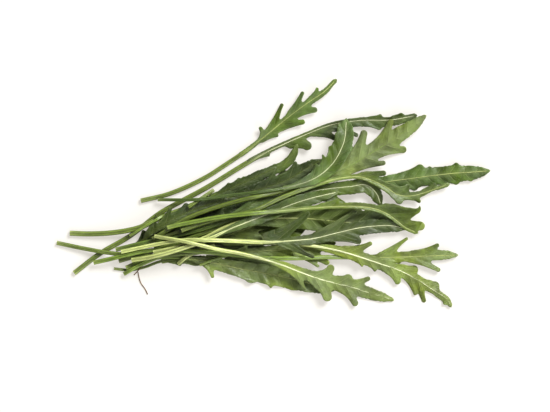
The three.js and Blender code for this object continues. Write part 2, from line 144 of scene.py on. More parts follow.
def blade_skin(name, paler, relief, roughness):
    """A blade's face: how much paler than the leaf's green it is, and how its veins stand out."""
    skin, tree, shader, spot = new_skin(name)
    tint, sheet, count, across = leaf_maps(tree)  # across is 0 at the midrib, 1 at the edge

    # Side veins, which narrow to the edge, the fine net between them, and what is by the midrib.
    away = math_node(tree, "PINGPONG", count, 0.5)  # 0 on a side vein
    breadth = ramp(tree, across, 0.0, 1.0, 0.075, 0.02)
    side_vein = ramp(tree, math_node(tree, "DIVIDE", away, breadth), 1.0, 0.3)
    net = node(tree, "ShaderNodeTexVoronoi", {"Vector": sheet, "Scale": 0.75, "Randomness": 0.9},
               feature="DISTANCE_TO_EDGE", voronoi_dimensions="2D").outputs["Distance"]
    net = ramp(tree, net, 0.09, 0.01)
    rib = math_node(tree, "ABSOLUTE", node(tree, "ShaderNodeSeparateXYZ", {0: sheet}).outputs[1])
    by_rib = ramp(tree, rib, 2.2, 0.4)

    # The green is cloudy, finely mottled, and yellower and stronger in broad patches.
    cloud, mottle = noise(tree, spot, 90.0, 3.0), noise(tree, spot, 420.0)
    value = math_node(tree, "ADD", ramp(tree, cloud, 0.28, 0.72, 0.52, 1.2),
                      ramp(tree, mottle, 0.3, 0.7, 0.0, 0.24))
    yellow = noise(tree, spot, 38.0)
    green = node(tree, "ShaderNodeHueSaturation", {
        "Hue": ramp(tree, yellow, 0.35, 0.7, 0.508, 0.488),
        "Saturation": ramp(tree, yellow, 0.35, 0.7, 0.92, 1.28),
        "Value": value, "Color": tint}).outputs[0]
    green = mix(tree, paler, green, colour((150, 162, 108)))
    pale = mix(tree, 0.6, green, colour((204, 214, 150)))
    rim = ramp(tree, across, 0.93, 1.0)
    marks = 0.0
    for mark, strength in ((side_vein, 0.4), (net, 0.12), (by_rib, 0.2), (rim, 0.2)):
        marks = math_node(tree, "MAXIMUM", marks, math_node(tree, "MULTIPLY", mark, strength))
    tree.links.new(mix(tree, marks, green, pale), shader.inputs["Base Color"])

    lines = math_node(tree, "MAXIMUM", side_vein, math_node(tree, "MULTIPLY", net, 0.45))
    height = math_node(tree, "ADD", math_node(tree, "MULTIPLY", lines, relief),
                       math_node(tree, "MULTIPLY", mottle, 0.7))
    bump = node(tree, "ShaderNodeBump", {"Height": height, "Strength": 0.7, "Distance": 0.00035})
    tree.links.new(bump.outputs[0], shader.inputs["Normal"])
    tree.links.new(ramp(tree, cloud, 0.2, 0.8, roughness - 0.06, roughness + 0.08),
                   shader.inputs["Roughness"])
    shader.inputs["Specular IOR Level"].default_value = 0.42
    return skin


MM = 0.001  # in metres


def points_of(piece):
    """The piece's points, as an array that can be changed."""
    points = np.empty(len(piece.data.vertices) * 3)
    piece.data.vertices.foreach_get("co", points)
    return points.reshape(-1, 3)


def place(piece, xy, z):
    piece.data.vertices.foreach_set("co", (np.column_stack([xy, z]) * MM).ravel())
    piece.data.update()


def paint(piece, tint, **maps):
    """Writes the piece's own colour and its maps, given at its points."""
    corner = np.empty(len(piece.data.loops), int)
    piece.data.loops.foreach_get("vertex_index", corner)
    for name, values in maps.items():
        layer = piece.data.uv_layers.new(name=name)
        layer.data.foreach_set("uv", np.column_stack(values)[corner].ravel())
    layer = piece.data.color_attributes.new("Tint", "FLOAT_COLOR", "POINT")
    layer.data.foreach_set("color", np.column_stack([tint, np.ones(len(tint))]).ravel())


def band(share, low=0.02, high=0.98):
    """A share from -1 to 1 as a place from low to high on the map that the finish is baked to."""
    return low + (high - low) * (share + 1) / 2


VEIN_STEP = 6  # about as far apart as side veins are
upper_skin = blade_skin("Rocket leaf, upper face", paler=0.04, relief=-1.0, roughness=0.44)

bpy.ops.object.select_all(action="DESELECT")
bpy.ops.mesh.primitive_uv_sphere_add(segments=96, ring_count=48, radius=1, calc_uvs=False)
mound = bpy.context.object
share = points_of(mound)
xy = on_core(share[:, :2] * DRAWN_IN)
folds = np.sin(xy[:, 0] * 1.1 + 2 * np.sin(xy[:, 1] * 0.7)) * np.cos(xy[:, 1] * 1.3)
place(mound, xy, share[:, 2].clip(0) * core["height"] * SUNK * (1 + CREASE * folds))
# the core's darker green is painted shade
paint(mound, np.tile(linear(greens["deep"]), (len(xy), 1)), Sheet=xy.T,
      Veins=(xy[:, 0] / VEIN_STEP, share[:, 1]),
      OFBake=(band(share[:, 0] * np.where(share[:, 2] < 0, 0.5, 1)), band(share[:, 1])))
mound.data.materials.append(upper_skin)
bpy.ops.object.shade_smooth()
mound.name = "core_leaves"
made = [mound]

# ---------------------------------------------------------------------------------------------
# The leaves. Each is one picked leaf: a cut, grooved stalk that runs on as the midrib of a thin
# lobed blade, glossy above with sunken veins, and paler and duller below with raised ones. They
# are laid one on another from the ground up, and each sags between what carries it.

# What a leaf has where its own row says nothing else. blade is the blade's length. half is its
# width without lobes, left and right of the midrib, which it has at the share peak of its length,
# and taper is how blunt its own tip is. lean is how far lobes slant towards the leaf's tip. fold
# is each half's angle in degrees, lift the height of the leaf's tip above the ground, and face
# the side that is up.
plain = dict(blade=0, half=(0, 0), peak=0.6, taper=0.55, lean=1, fold=(6, 6), lift=3,
             face="upper", lobes=[])

# From the ground up. greens are the blade's, the stalk's and the midrib's, and stalk is the
# stalk's width. Each route runs along the midrib from the cut end to the tip. Each lobe is its
# tip's x and y and half its breadth, and then its own slant and bow, where it has them.
leaves = [
    dict(name="upper_long", greens="deep moss white", stalk=2.5, blade=88, half=(1.5, 3.2),
         peak=0.72, lean=1.5, fold=(30, 6),
         route=[(-98.8, -39.5), (-86, -29.8), (-71, -21), (-56, -9.6), (-45.3, -3.6), (-33, 3),
                (-11, 16.4), (-1, 21.8), (6, 25), (14, 28.5), (29, 34.3), (44, 36.7), (59.5, 37),
                (72, 39.2)],
         lobes=[(-1, 19, 1.4), (19.8, 22.6, 4, 0.9), (32, 27, 2.6, 1), (43, 28.5, 2.4),
                (54.5, 32, 3), (54.5, 39.8, 2), (65, 40.4, 3)]),
    dict(name="top", greens="fresh moss cream", stalk=2.3, blade=61, half=(1.6, 1.9), lean=1.6,
         fold=(10, 10),
         route=[(-65.5, -3.4), (-51, 0.2), (-33.5, 8.1), (-24, 14.1), (-11.2, 22.8), (9, 39),
                (19, 46.3), (26, 51), (32, 57)],
         lobes=[(-6, 33.5, 1.6, 0.3), (5, 45.5, 2.2), (15.3, 51.5, 2.4), (22.6, 53.3, 2),
                (3.4, 29, 2), (16.8, 35.5, 3.2), (23, 41.5, 3.4)]),
    dict(name="low_short", greens="pale moss lime", stalk=1.4, blade=30, half=(2.5, 2.6), lean=1.2,
         fold=(5, 5), lift=1,
         route=[(-79, -37.3), (-71, -38), (-63.5, -36.5), (-56, -33.8), (-47, -32.8), (-36, -33.3),
                (-25, -34)],
         lobes=[(-45.5, -36, 2), (-38, -35.3, 2)]),
    dict(name="low_broad", greens="pale lime cream", stalk=2.4, blade=78, half=(4.5, 5.2), lean=0.6,
         fold=(6, 4), lift=1,
         route=[(-72.8, -37), (-66, -34), (-58.5, -31.8), (-48.5, -31.3), (-33.5, -33.5),
                (-18, -36.8), (-5, -39.3), (10.5, -42.5), (23, -45.8), (31, -48)],
         lobes=[(-29.5, -42, 1.7), (-9.5, -44.6, 5), (-0.5, -47, 1.2), (11, -48, 4)]),
    dict(name="dark_finger", greens="deep lime moss", stalk=1.5, blade=52, half=(2, 2.8), lean=1.6,
         fold=(8, 8), lift=4,
         route=[(-71, -20.8), (-63.5, -16.3), (-56.5, -12.5), (-43.5, -6.5), (-22, 2.2),
                (-1.5, 11.4), (5, 14.2), (9, 17.6), (12.6, 24.5)],
         lobes=[(-13.8, 8.8, 2.4, 1.9), (1.5, 14.5, 2.2, 1.5)]),
    dict(name="dark_upper", greens="dark moss moss", stalk=2.6, blade=66, half=(4, 4), lean=1.2,
         fold=(10, 10),
         route=[(-101, -19.6), (-91, -19.9), (-78.5, -19.2), (-66, -16.7), (-53.5, -11),
                (-38.5, -6), (-5, 2.5), (7, 6.7), (13, 10), (25, 17)],
         lobes=[(11.8, 16.5, 2), (1, 11, 2)]),
    dict(name="dark_left", greens="dark olive moss", stalk=1.8, blade=46, half=(3, 4),
         fold=(12, 12),
         route=[(-68, -27), (-62, -21), (-53.5, -15), (-42.5, -9.3), (-32, -5.5), (-22.5, -2.3)],
         lobes=[(-57.5, -10, 1.6, 1.3), (-50.5, -6.6, 2, 1.2), (-42.5, -4.3, 2.4)]),
    dict(name="dark_middle", greens="pale lime cream", stalk=2, blade=46, half=(4, 4), lean=1.6,
         route=[(-74, -40), (-66, -35.5), (-58, -32), (-48.5, -28.3), (-36, -24.5), (-23.5, -21),
                (-13.5, -17.5), (-5, -14), (4, -9.5), (11.5, -6)],
         lobes=[(-5, -22.5, 4), (7.5, -24.5, 3)]),
    dict(name="far_right", greens="fresh moss cream", stalk=2.2, blade=78, half=(4, 4.8), lean=0.8,
         fold=(-12, -16),
         route=[(-76.5, -33.5), (-61, -29), (-41, -22), (-16, -13), (9, -4.5), (34, 1.8), (56, 5.8),
                (66.5, 7.3), (79, 9), (91.5, 10.4), (100, 10.9), (108.5, 11.6)],
         lobes=[(75.2, 15, 4.4, 1.3), (78.8, 13.5, 0.8), (92.5, 15.6, 2), (72.5, 1.8, 3),
                (93, 4.8, 2.4), (99.8, 6.8, 1.6)]),
    dict(name="turned_down", greens="deep mid white", stalk=2.1, blade=60, half=(3, 4), lean=1.6,
         fold=(8, 8), lift=1,
         route=[(-78, -27.8), (-66, -24.8), (-53.5, -22), (-36, -18), (-22, -13.5), (-8.5, -9),
                (5, -4), (16.5, 0.5), (27.5, 2.5), (39, 3.7), (47, 4.5), (52, 0.5), (54.5, -6)],
         lobes=[(36.5, -6.5, 4)]),
    dict(name="plain_young", greens="fresh olive moss", stalk=1.8, blade=34, half=(2.2, 2.8),
         fold=(10, 10), lift=4,
         route=[(-53.5, -21), (-41, -17), (-28.5, -13.3), (-20, -10.5), (-11, -5.8), (-2, -1.5),
                (5.5, 0.5)]),
    dict(name="grey_middle", greens="pale moss cream", stalk=2.1, blade=54, half=(3, 3.2),
         fold=(5, 5), lift=2,
         route=[(-107.5, -24.4), (-93.5, -27.3), (-79.5, -29.6), (-61, -30.8), (-41, -29.5),
                (-29.5, -28.5), (-20, -29.3), (-6, -28.5), (9, -27.5), (20, -26.5), (31.5, -24.5)],
         lobes=[(-12, -24.8, 1.6), (-4.5, -32, 2), (9, -31.5, 2.6), (23.5, -36.5, 1.6),
                (28.5, -35.3, 2.6)]),
    dict(name="right_fork", greens="pale lime cream", stalk=2.2, blade=52, half=(3, 2.4), lean=1.5,
         fold=(8, 8), lift=2,
         route=[(-89, -34.3), (-81, -32.5), (-73.5, -30.6), (-66, -29), (-56, -27.8), (-41, -28.3),
                (-21, -30), (-5, -31.8), (9, -32), (29, -31.5), (57, -31.7), (81, -30.9),
                (92.5, -30.5)],
         lobes=[(67.8, -21.6, 1.8, 1.2, -0.3), (83.3, -24.6, 2.8, 1.9), (64, -34.8, 2.4),
                (84, -38.8, 2.5, 1.6)]),
    dict(name="lower_right", greens="pale cream white", face="under", stalk=2.2, blade=80,
         half=(2.8, 3), taper=0.7, peak=0.4, lean=1.1, fold=(-10, -10), lift=1.5,
         route=[(-39.3, -22.8), (-21, -23.2), (4.5, -24.4), (16.5, -25.3), (34, -28.5), (54, -34.8),
                (64, -38.3), (74, -43.6), (79, -47), (83.6, -49.8), (87.4, -52.4), (89.3, -56.2)],
         lobes=[(50, -24, 2.2), (73.3, -36.8, 4), (83.8, -44.7, 7.5, 0.9), (45, -36.3, 1.4),
                (51.5, -38.8, 1.6), (63, -45.5, 3.4), (71.5, -50.8, 2.4), (76, -54.5, 2.2),
                (85.8, -55.6, 4, 2.4)]),
    dict(name="pale_centre", greens="deep cream cream", face="under", stalk=2.1, blade=74,
         half=(6, 5.8), peak=0.4, fold=(-6, -6), lift=2,
         route=[(-59, -29), (-51, -27.3), (-43, -25), (-33.5, -21.8), (-23.5, -16.8),
                (-13.5, -13.3), (-1, -12.2), (14, -12.1), (29, -13.2), (42, -14.8), (52, -15.6),
                (62, -16.4)],
         lobes=[(37, -6.6, 5, 0.8), (44, -6, 5, 0.8), (51.5, -6.6, 5, 0.8), (57.5, -8.6, 5, 1),
                (61, -12, 3)]),
    dict(name="white_rib", greens="deep cream white", stalk=2.4, blade=68, half=(3.4, 3.6),
         lean=1.2,
         route=[(-70, -33), (-61, -31.5), (-51, -29), (-40, -25.5), (-32.5, -22.8), (-21, -17.5),
                (-11, -13.5), (-2, -10), (9, -5.5), (20, -2), (33, 1)],
         lobes=[(-4.5, -14.3, 2.6)]),
    dict(name="big_pale", greens="pale moss lime", face="under", stalk=2.3, blade=76, half=(4.4, 4),
         peak=0.55, lean=0.9, fold=(-6, -6), lift=5,
         route=[(-59.5, -22.5), (-52, -18), (-42.5, -12.3), (-29.5, -7.3), (-16, -3.3), (-1, 0),
                (14, 3.5), (27, 8.3), (36.5, 12.8), (50.5, 21), (61.5, 28), (70, 33.8), (76.5, 39)],
         lobes=[(46, 32.3, 3.6, 1.2), (59.5, 37.8, 3.4, 1.5), (67.5, 21.5, 3.6, 1.3),
                (57, 15, 3.4, 2)]),
    dict(name="curly_right", greens="mid moss cream", stalk=2.3, blade=78, half=(2.3, 2.2), taper=2,
         lean=1.2, fold=(10, 10),
         route=[(-45, -18.3), (-36, -15), (-25, -11.8), (-9, -8.3), (3.3, -2.5), (14.8, 2.1),
                (26.3, 6), (36.5, 8.3), (44, 8.5), (51, 6.3), (57, 3.3), (62, 0), (67, -1.1),
                (73, -0.3), (80, 2), (88.3, 5)],
         lobes=[(57, 11, 2.6), (68.5, 5.2, 4, 1.6), (81.3, 6, 3, 1.7), (64, -5.2, 2.4, 0.6),
                (74, -4.4, 1.6, 0.5)]),
    dict(name="blue_lower", greens="dark cream white", stalk=2.1, blade=72, half=(3.3, 3.8),
         lean=1.4, fold=(4, 4),
         route=[(-75, -28.8), (-61, -25.8), (-48.5, -23.5), (-41, -22.8), (-21, -23.3), (-5, -24),
                (9, -23.3), (20.5, -22.2), (32, -19.5), (43.5, -16.9), (51.5, -16), (59, -15.8),
                (67, -17.3)],
         lobes=[(18.5, -8.5, 3.2, 1.6), (42, -8, 3, 2.2, -0.4), (44.5, -24.8, 4), (21, -31.8, 2)]),
    dict(name="arched", greens="mid lime cream", stalk=2.3, blade=78, half=(2.1, 1.4), peak=0.7,
         lean=1.1, fold=(14, 2),
         route=[(-52, -16.8), (-46, -15.3), (-36, -13.3), (-26, -11.5), (-11, -9.8), (6.5, -8.2),
                (19, -7), (31.5, -6.3), (42.5, -6.2), (51.5, -7.5), (58, -10.3), (63, -14),
                (67, -17), (72.5, -19.4)],
         lobes=[(33.5, -2.2, 3, 2), (74.2, -6.3, 4, 1.06, 0), (76.8, -14.8, 7, 2.2)]),
    dict(name="upper_turned", greens="fresh deep white", stalk=1.6, blade=52, half=(5, 4.4),
         lean=1.2, lift=6,
         route=[(-57, -2.9), (-36, -2.7), (-21.5, -0.7), (-6, 1), (11, 4), (22.5, 8.5),
                (30.5, 15.5), (34.5, 22.5), (36.3, 28), (37, 37.3)],
         lobes=[(22, 15.3, 1.5), (25.2, 19.7, 1.6), (28.3, 23.7, 1.8), (31.8, 30, 1.8),
                (40.3, 23, 1.4)]),
    dict(name="low_pale", greens="pale cream white", face="under", stalk=2, blade=74,
         half=(3.2, 3.6), fold=(-6, -6), lift=1,
         route=[(-58.5, -21), (-44.5, -23.3), (-36, -25.3), (-26, -27.7), (-16, -29.5), (-6, -32),
                (4, -35), (14, -38.9), (24, -42.5), (39, -46.4), (49, -49.5), (60.5, -53)],
         lobes=[(30.5, -35.5, 3, 0.5), (40, -40.5, 4), (49, -41.5, 2.2), (16.3, -48, 1.8),
                (28.3, -53.8, 3.6, 0.7), (42, -56.3, 3)]),
]

# Short lengths of bare stalk that show between the leaves.
snapped = [
    dict(name="snapped_upper", greens="dark moss moss", stalk=1.7,
         route=[(-29, 2.1), (-35, -2), (-41.5, -6.6)]),
    dict(name="snapped_left", greens="dark lime lime", stalk=1.2,
         route=[(-71, -20.9), (-63, -16), (-54.5, -11)]),
    dict(name="snapped_lower", greens="dark cream cream", stalk=2,
         route=[(-47, -35), (-42, -31), (-36, -28), (-28.5, -25.5)]),
    dict(name="snapped_thin", greens="dark lime lime", stalk=1.3,
         route=[(-36, -35.5), (-31, -33.5), (-26, -31.8), (-17, -29), (-8.5, -27)]),
]

# Small leaves that are tucked in at the core. Only their tips show, between the others.
tucked = [
    dict(name="tucked_left", greens="dark olive moss", stalk=1.2, blade=20, half=(3.6, 3.4),
         lean=0.8, fold=(14, 14), lift=2,
         route=[(-69.5, -27), (-65, -23.5), (-58, -19), (-50, -15.8)],
         lobes=[(-64.3, -18, 1.6), (-58.5, -14.6, 1.8), (-57, -22.6, 1.6)]),
    dict(name="tucked_upper", greens="dark olive moss", stalk=1.2, blade=40, half=(2.4, 3),
         lean=1.2, fold=(16, 10), lift=4,
         route=[(-38, -5), (-28, -0.5), (-18, 4), (-8, 8.5), (2, 13.2)],
         lobes=[(-21.5, 5.7, 1.8), (-16.5, 8, 2), (-6.5, 11.2, 2.2), (-10, 3.4, 2.4)]),
    dict(name="tucked_middle", greens="dark olive moss", face="under", stalk=1.3, blade=30,
         half=(3, 3.4), lean=1.1, fold=(-8, 12),
         route=[(-16, -0.5), (-6, 3), (4, 7), (14, 11.5), (20, 14.6)],
         lobes=[(6, 12.2, 2), (12.5, 15, 1.8), (12, 5, 2.2)]),
    dict(name="tucked_lower", greens="lime olive moss", stalk=1.3, blade=34, half=(3.4, 3.6),
         lift=1.5,
         route=[(-24, -21.5), (-12, -21), (0, -20.2), (10, -18.6), (17, -16.4)],
         lobes=[(2, -15.6, 2.4), (4, -24.5, 2), (13, -22.6, 2.2)]),
    dict(name="tucked_under", greens="fresh olive moss", stalk=1.3, blade=26, half=(2.4, 2.6),
         fold=(8, 8), lift=1.5,
         route=[(-33, -23.6), (-22, -26.6), (-10, -28), (2, -28.8)],
         lobes=[(-5, -25.4, 1.8), (-8, -31, 1.8)]),
    dict(name="tucked_edge", greens="fresh olive moss", face="under", stalk=1.3, blade=32,
         half=(3, 3), fold=(-8, -8), lift=1.5,
         route=[(-33, -31), (-22, -31.6), (-10, -33.4), (2, -36.2), (8, -38)],
         lobes=[(-9, -30.4, 2), (2, -32.6, 2)]),
]

# How a leaf is laid.
GAP = 0.15  # clearance between two leaves as they settle
BLADE_THICKNESS = 0.35
TIP_WIDTH = 0.5  # the midrib's width where it ends in the tip
MIDRIB_TAPER = 0.8  # below 1 the midrib narrows soonest near the blade's foot
LOBE_POWER = 2.8  # above 2 a lobe is blunt, with steep sides
LEAN_FADE = 7  # over this length before the tip, lobes turn from slanting to square
LEAN_RISE, BLADE_RISE = 4, 3  # over these lengths from the blade's foot, slant and lobes set in
PAST_TIP = 15  # a lobe's root is looked for this far past the midrib's end
SAG_RADIUS = 220  # a free length of stalk hangs in a curve of this radius
BEND_SLOPE = 0.35  # the steepest that a blade bends to climb over what lies under it
BESIDE_RIB = 3  # what lies this near the midrib carries it
WAVE_HEIGHT, WAVE_LENGTH = 0.7, 17  # gentle waves along a blade's edges
WAVE_START = 6  # they fade out this near the midrib
STATIONS = 120  # places along a leaf where its lie is worked out
COLUMNS = 4  # and across each half of its blade
FINE = (4, 8)  # how many times finer than those its top goes onto the height map


class Midrib:
    """A smooth line through the route's points, measured by its length, straight past its end."""

    samples = 24

    def __init__(self, route):
        p = np.array(route, float)
        p = np.vstack([2 * p[0] - p[1], p, 2 * p[-1] - p[-2]])
        pieces = []
        for a, b, c, d in zip(p, p[1:], p[2:], p[3:]):
            knots = np.cumsum([0, *(math.sqrt(np.linalg.norm(v)) for v in (b - a, c - b, d - c))])
            t = np.linspace(knots[1], knots[2], self.samples, endpoint=False)[:, None]

            def between(i, j, left, right):
                return ((knots[j] - t) * left + (t - knots[i]) * right) / (knots[j] - knots[i])

            ab, bc, cd = between(0, 1, a, b), between(1, 2, b, c), between(2, 3, c, d)
            pieces.append(between(1, 2, between(0, 2, ab, bc), between(1, 3, bc, cd)))
        self.points = np.vstack([*pieces, p[-2:-1]])
        steps = np.linalg.norm(np.diff(self.points, axis=0), axis=1)
        self.places = np.concatenate([[0], np.cumsum(steps)])
        self.length = self.places[-1]
        turns = np.gradient(self.points, self.places, axis=0)
        self.turns = turns / np.linalg.norm(turns, axis=1)[:, None]

    def direction(self, s):
        t = np.stack([np.interp(s, self.places, self.turns[:, k]) for k in (0, 1)], -1)
        return t / np.linalg.norm(t, axis=-1)[..., None]

    def point(self, s):
        inside = np.stack([np.interp(s, self.places, self.points[:, k]) for k in (0, 1)], -1)
        return inside + np.maximum(s - self.length, 0)[..., None] * self.turns[-1]


class Plan:
    """A leaf seen from above: its halves' widths at any station, and where a point of it lies."""

    def __init__(self, leaf):
        self.leaf = {**plain, **leaf}
        self.rib = Midrib(leaf["route"])
        self.length = self.rib.length
        self.blade = self.leaf["blade"]
        self.start = self.length - self.blade
        self.under = self.leaf["face"] == "under"
        self.lobes = [self.root(*lobe[:3]) for lobe in self.leaf["lobes"]]

    def slant(self, u):
        """How far along the midrib a lobe with its root at u leans, for each step away from it."""
        fade = np.clip((self.length - u) / LEAN_FADE, 0, 1)
        return self.leaf["lean"] * fade * np.clip((u - self.start) / LEAN_RISE, 0, 1)

    def foot(self, s, away, rounds=8):
        """Where the slanting line through a place, that far from the midrib, leaves it."""
        u = s
        for _ in range(rounds):
            u = s - self.slant(u) * away
        return u

    def share(self, u):
        """The share of the blade's length that comes before u."""
        return np.clip((u - self.start) / max(self.blade, 1), 0, 1) * (self.blade > 0)

    def radius(self, u):
        stalk = self.leaf["stalk"]
        return (stalk + (TIP_WIDTH - stalk) * self.share(u) ** MIDRIB_TAPER) / 2

    def strip(self, side, u):
        """The width of one half of the blade without its lobes."""
        peak, power = self.leaf["peak"], self.leaf["taper"]
        t = self.share(u)
        half = np.where(side > 0, *self.leaf["half"])
        rise = (t / peak) ** (power * peak / (1 - peak))
        return half * rise * ((1 - t) / (1 - peak)) ** power

    def root(self, x, y, breadth):
        """A lobe's tip is a point: its root is found back along the slant."""
        s = np.arange(self.start, self.length + PAST_TIP, 0.1)
        away = np.linalg.norm(self.rib.point(s) - [x, y], axis=1)
        nearest, reach = s[away.argmin()], away.min()
        along, offset = self.rib.direction(nearest), [x, y] - self.rib.point(nearest)
        side = 1 if along[0] * offset[1] - along[1] * offset[0] > 0 else -1
        u = self.foot(nearest, reach, rounds=12)
        return side, u, breadth, reach - self.strip(side, u)

    def bump(self, lobe, u):
        """1 at a lobe's root, and 0 beside the lobe."""
        return np.exp(-(np.abs((u - lobe[1]) / lobe[2]) ** LOBE_POWER))

    def width(self, side, u):
        bumps = [lobe[3] * self.bump(lobe, u) * (lobe[0] == side) for lobe in self.lobes]
        begin = np.clip((u - self.start) / BLADE_RISE, 0, 1)
        return self.strip(side, u) + np.max([0 * u * side, *bumps], axis=0) * begin

    def beside(self, s, d):
        """The place that is d to the left of the midrib at s."""
        along = self.rib.direction(s)
        return self.rib.point(s) + d[..., None] * np.stack([-along[..., 1], along[..., 0]], -1)

    def at(self, side, u, d):
        """The place that is d away from u along the slant, on that side."""
        return self.beside(u + self.slant(u) * d, side * d)

    def rise(self, side, u, d, index):
        """How far the blade stands above its midrib's middle: its fold and its edge's waves."""
        plane = -0.5 if self.under else 0.5
        fold = np.tan(np.radians(self.leaf["fold"]))
        phase = 2 * math.pi * u / WAVE_LENGTH + 2.4 * index + side
        ripple = WAVE_HEIGHT * np.sin(phase) * np.minimum(1, d / WAVE_START)
        return plane * self.radius(u) + d * np.where(side > 0, *fold) + ripple


def stretched(places, row):
    """What a line stretched over a row of heights would do."""
    hull = []
    for i, z in enumerate(row):
        while len(hull) > 1:
            a, b = hull[-2:]
            if row[b] > row[a] + (z - row[a]) / (places[i] - places[a]) * (places[b] - places[a]):
                break
            hull.pop()
        hull.append(i)
    return np.interp(places, places[hull], row[hull])


class Lie:
    """A leaf laid on the height map: the height of any point of it, and its place."""

    def __init__(self, leaf, index):
        self.plan = plan = Plan(leaf)
        self.index = index
        self.u = np.linspace(0, plan.length, STATIONS + 1)
        v = np.linspace(-1, 1, 2 * COLUMNS + 1)  # right edge, midrib, left edge
        u = self.u[:, None]
        side = np.where(v < 0, -1, 1)[None, :] + 0 * u
        radius = plan.radius(u)
        half = plan.width(side, u)
        d = np.abs(v) * np.maximum(half, radius)
        xy = plan.at(side, u + 0 * d, d)
        rise = np.where(half > radius, plan.rise(side, u + 0 * d, d, index), 0)
        under = heights[squares(xy)] + GAP

        # The midrib rests on the highest things under it and sags between them.
        on_rib = d <= radius + 1e-6
        near = np.where(on_rib, under + np.sqrt(np.maximum(radius**2 - d**2, 0)),
                        under + BLADE_THICKNESS / 2 - rise)
        near = np.where(on_rib | (d < BESIDE_RIB), near, 0)
        support = np.maximum(near.max(1), plan.leaf["lift"] * plan.share(self.u))
        sag = self.u**2 / (2 * SAG_RADIUS)
        self.line = stretched(self.u, support - sag) + sag
        for _ in range(6):
            padded = np.pad(self.line, 1, mode="edge")
            self.line = (padded[:-2] + 2 * padded[1:-1] + padded[2:]) / 4

        # The blade bends up over what lies higher, and no more steeply than it can. It is gone
        # over from the stalk's end and right edge, and then the other way round.
        self.lifted = np.maximum(under + BLADE_THICKNESS / 2 - self.line[:, None] - rise, 0)
        self.lifted[:, COLUMNS] = 0
        pitch = plan.length / STATIONS * BEND_SLOPE
        drop = d[:, [COLUMNS - 1, COLUMNS + 1]] * BEND_SLOPE
        for lifted, fall in ((self.lifted, drop), (self.lifted[::-1, ::-1], drop[::-1, ::-1])):
            for i in range(STATIONS + 1):
                if i:
                    np.maximum(lifted[i], lifted[i - 1] - pitch, out=lifted[i])
                for c in range(1, 2 * COLUMNS + 1):
                    reach = lifted[i, c - 1] - fall[i, int(c > COLUMNS)]
                    lifted[i, c] = max(lifted[i, c], reach)

        # Its own top is added to the height map.
        z = self.line[:, None] + rise + self.lifted
        i = np.linspace(0, STATIONS, FINE[0] * STATIONS + 1)[:, None]
        j = np.linspace(0, 2 * COLUMNS, FINE[1] * 2 * COLUMNS + 1)[None, :]
        fine_d, fine_radius = self.between(d, i, j), self.between(radius, i, 0 * j)
        bulge = np.sqrt(np.maximum(fine_radius**2 - fine_d**2, 0))
        ridge = self.between(z[:, [COLUMNS]], i, 0 * j) + bulge
        top = self.between(z, i, j) + BLADE_THICKNESS / 2
        top = np.where(fine_d < fine_radius, np.maximum(top, ridge), top)
        fine = np.stack([self.between(xy[..., k], i, j) for k in (0, 1)], -1)
        np.maximum.at(heights, squares(fine), top)

    @staticmethod
    def between(table, i, j):
        """Reads a table between its rows and columns."""
        i0 = np.minimum(i.astype(int), table.shape[0] - 2)
        j0 = np.minimum(j.astype(int), max(table.shape[1] - 2, 0))
        j1 = np.minimum(j0 + 1, table.shape[1] - 1)
        p, q = i - i0, j - j0
        near = table[i0, j0] * (1 - q) + table[i0, j1] * q
        far = table[i0 + 1, j0] * (1 - q) + table[i0 + 1, j1] * q
        return near * (1 - p) + far * p

    def line_at(self, u, columns):
        """The midrib's height, with how far the leaf is lifted at that column."""
        lift = self.between(self.lifted, u / self.plan.length * STATIONS, columns)
        return np.interp(u, self.u, self.line) + lift

    def middle(self, u):
        """Height of the midrib's middle."""
        return self.line_at(u, 0 * u + COLUMNS)

    def height(self, side, u, v, d):
        """Height of the blade's middle, at the share v of that half's width."""
        rise = self.plan.rise(side, u, d, self.index)
        return self.line_at(u, COLUMNS + side * v * COLUMNS) + rise


# The blade's outline.
NET = 0.5  # the blade's mesh, from point to point
NET_PAST_TIP = 6  # it runs on this far, for lobes that reach past the midrib's end
SNAP = 0.35  # a point this share of NET outside the outline is still pulled in
PULL = 0.4  # the furthest that a point is pulled at once
LEAST_HALF = 0.6  # the blade is nowhere narrower on either side, and twice that at its foot
TIP_LENGTH, TIP_ROUND = 6, 1.1  # the leaf's tip: its length and the radius of its end
# A fine and a broad lobe: half the breadth, and the share of it that the end's radius is.
TOOTH, LOBE = (1, 0.45), (2.6, 0.75)
FLARE, FLARE_POWER = 0.3, 1.7  # how much a lobe broadens to its root, as a share of its reach
BOW = 0.2  # how far a lobe bends, as a share of its reach
JOINTS = 8  # straight stretches that a bent lobe is made of
MELT = 1.8  # how softly lobes melt into the blade: the round of the notches between them
MELT_START = 1.5  # they melt only this far from the midrib
EDGE_NOISE = 0.14  # how uneven the edge is
EDGE_START = 3  # what stirs the edge fades out this near the midrib


